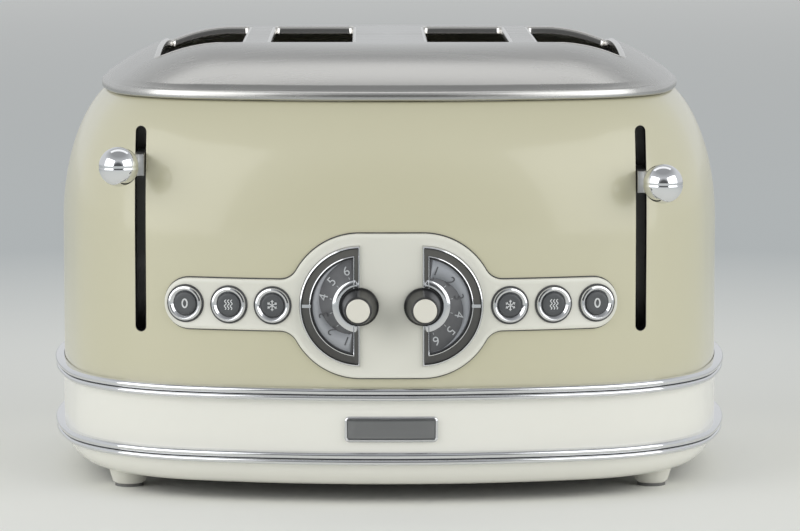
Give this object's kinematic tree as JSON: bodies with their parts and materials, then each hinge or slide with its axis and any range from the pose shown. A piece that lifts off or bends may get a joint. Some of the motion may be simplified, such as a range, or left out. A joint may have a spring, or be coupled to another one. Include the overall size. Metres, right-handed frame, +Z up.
{
  "type": "pop-up toaster",
  "caption": "Rounded pop-up toaster with long bread slots in a domed steel cover, two lowering levers, browning dials, push buttons and crumb trays that slide out behind.",
  "frame": {"origin": "on the standing plane, below the middle of the toaster's box", "axes": "+Z up, front with the dials and levers towards -Y, +X to the right seen from the front"},
  "size_m": [0.325, 0.3336, 0.208],
  "materials": {
    "cream_paint": "gloss paint on pressed steel",
    "brushed_cover": "brushed along the width",
    "inner_sheet": "plain sheet",
    "white_plastic": "gloss moulding",
    "band_chrome": "bright plated band",
    "foot_plastic": "satin moulding",
    "pad_rubber": "soft pad",
    "screw_steel": "plated screws",
    "panel_plastic": "satin gloss moulding",
    "trim_chrome": "bright plating",
    "dial_print": "printed scale",
    "badge_steel": "brushed plate",
    "knob_black": "gloss black",
    "knob_cream": "gloss insert",
    "part_metal": "plain casing",
    "board_green": "lacquered board",
    "part_steel": "pressed steel",
    "ball_chrome": "mirror plating",
    "spring_steel": "spring wire",
    "magnet_steel": "lacquered coil housing",
    "mica": "pressed mica sheet",
    "ribbon_wire": "oxidised heating ribbon",
    "tray_steel": "bright tray",
    "gland_rubber": "black moulding",
    "guard_wire": "plated wire",
    "button_grey": "dark grey cap"
  },
  "bodies": {
    "root": {"body_shell": "cream_paint", "top_cover": "brushed_cover", "slot_collars": "inner_sheet", "base_skirt": "white_plastic", "base_pan": "inner_sheet", "upper_band": "band_chrome", "lower_band": "band_chrome", "feet": "foot_plastic", "foot_pads": "pad_rubber", "base_screws": "screw_steel", "control_panel": "panel_plastic", "dial_bezel_left": "trim_chrome", "dial_bezel_right": "trim_chrome", "dial_plate_left": "dial_print", "dial_plate_right": "dial_print", "button_bezels": "trim_chrome", "badge_frame": "trim_chrome", "badge_plate": "badge_steel", "potentiometers": "part_metal", "control_board_left": "board_green", "control_board_right": "board_green", "guide_rods": "part_steel", "lift_spring_left": "spring_steel", "lift_spring_right": "spring_steel", "latch_magnets": "magnet_steel", "chassis_floor": "inner_sheet", "chassis_front": "inner_sheet", "chassis_rear": "inner_sheet", "side_reflectors": "inner_sheet", "centre_partition": "inner_sheet", "heater_cards": "mica", "heater_ribbons": "ribbon_wire", "cord_gland": "gland_rubber"},
    "carriage_left": {"carriage_left": "part_steel", "bread_racks_left": "part_steel", "lever_ball_left": "ball_chrome"},
    "guards_left_a": {"guards_left_a": "guard_wire"},
    "guards_left_b": {"guards_left_b": "guard_wire"},
    "dial_left": {"knob_left": "knob_black", "knob_cap_left": "knob_cream"},
    "button_left_outer": {"button_left_outer": "button_grey"},
    "button_left_middle": {"button_left_middle": "button_grey"},
    "button_left_inner": {"button_left_inner": "button_grey"},
    "tray_left": {"crumb_tray_left": "tray_steel"},
    "carriage_right": {"carriage_right": "part_steel", "bread_racks_right": "part_steel", "lever_ball_right": "ball_chrome"},
    "guards_right_a": {"guards_right_a": "guard_wire"},
    "guards_right_b": {"guards_right_b": "guard_wire"},
    "dial_right": {"knob_right": "knob_black", "knob_cap_right": "knob_cream"},
    "button_right_outer": {"button_right_outer": "button_grey"},
    "button_right_middle": {"button_right_middle": "button_grey"},
    "button_right_inner": {"button_right_inner": "button_grey"},
    "tray_right": {"crumb_tray_right": "tray_steel"}
  },
  "joints": [
    {"name": "lever_left", "type": "slide", "parent": "root", "child": "carriage_left", "axis": [0, 0, 1], "range_m": [-0.07, 0.01], "deforming": ["lift_spring_left"]},
    {"name": "guard_left_a", "type": "slide", "parent": "root", "child": "guards_left_a", "axis": [1, 0, 0], "range_m": [-0.0057, 0.0009]},
    {"name": "guard_left_b", "type": "slide", "parent": "root", "child": "guards_left_b", "axis": [-1, 0, 0], "range_m": [-0.0057, 0.0009]},
    {"name": "browning_left", "type": "hinge", "parent": "root", "child": "dial_left", "pos_m": [-0.01431, -0.14759, 0.0924], "axis": [-0.0436, -0.999, 0], "range_deg": [-170, 0]},
    {"name": "button_left_outer_press", "type": "slide", "parent": "root", "child": "button_left_outer", "axis": [-0.2867, -0.958, 0], "range_m": [-0.002, 0], "stiffness_N_per_m": 300, "springref_m": 0.0004},
    {"name": "button_left_middle_press", "type": "slide", "parent": "root", "child": "button_left_middle", "axis": [-0.2257, -0.9742, 0], "range_m": [-0.002, 0], "stiffness_N_per_m": 300, "springref_m": 0.0004},
    {"name": "button_left_inner_press", "type": "slide", "parent": "root", "child": "button_left_inner", "axis": [-0.1647, -0.9863, 0], "range_m": [-0.002, 0], "stiffness_N_per_m": 300, "springref_m": 0.0004},
    {"name": "tray_left_slide", "type": "slide", "parent": "root", "child": "tray_left", "axis": [0, 1, 0], "range_m": [0, 0.18]},
    {"name": "lever_right", "type": "slide", "parent": "root", "child": "carriage_right", "axis": [0, 0, 1], "range_m": [-0.062, 0.018], "deforming": ["lift_spring_right"]},
    {"name": "guard_right_a", "type": "slide", "parent": "root", "child": "guards_right_a", "axis": [1, 0, 0], "range_m": [-0.00506, 0.00154]},
    {"name": "guard_right_b", "type": "slide", "parent": "root", "child": "guards_right_b", "axis": [-1, 0, 0], "range_m": [-0.00506, 0.00154]},
    {"name": "browning_right", "type": "hinge", "parent": "root", "child": "dial_right", "pos_m": [0.01431, -0.14759, 0.0924], "axis": [0.0436, -0.999, 0], "range_deg": [0, 170]},
    {"name": "button_right_outer_press", "type": "slide", "parent": "root", "child": "button_right_outer", "axis": [0.2867, -0.958, 0], "range_m": [-0.002, 0], "stiffness_N_per_m": 300, "springref_m": 0.0004},
    {"name": "button_right_middle_press", "type": "slide", "parent": "root", "child": "button_right_middle", "axis": [0.2257, -0.9742, 0], "range_m": [-0.002, 0], "stiffness_N_per_m": 300, "springref_m": 0.0004},
    {"name": "button_right_inner_press", "type": "slide", "parent": "root", "child": "button_right_inner", "axis": [0.1647, -0.9863, 0], "range_m": [-0.002, 0], "stiffness_N_per_m": 300, "springref_m": 0.0004},
    {"name": "tray_right_slide", "type": "slide", "parent": "root", "child": "tray_right", "axis": [0, 1, 0], "range_m": [0, 0.18]}
  ],
  "couplings": [
    {"joint": "guard_left_a", "follows": "lever_left", "ratio": 0.08},
    {"joint": "guard_left_b", "follows": "lever_left", "ratio": 0.08},
    {"joint": "guard_right_a", "follows": "lever_right", "ratio": 0.08},
    {"joint": "guard_right_b", "follows": "lever_right", "ratio": 0.08}
  ]
}
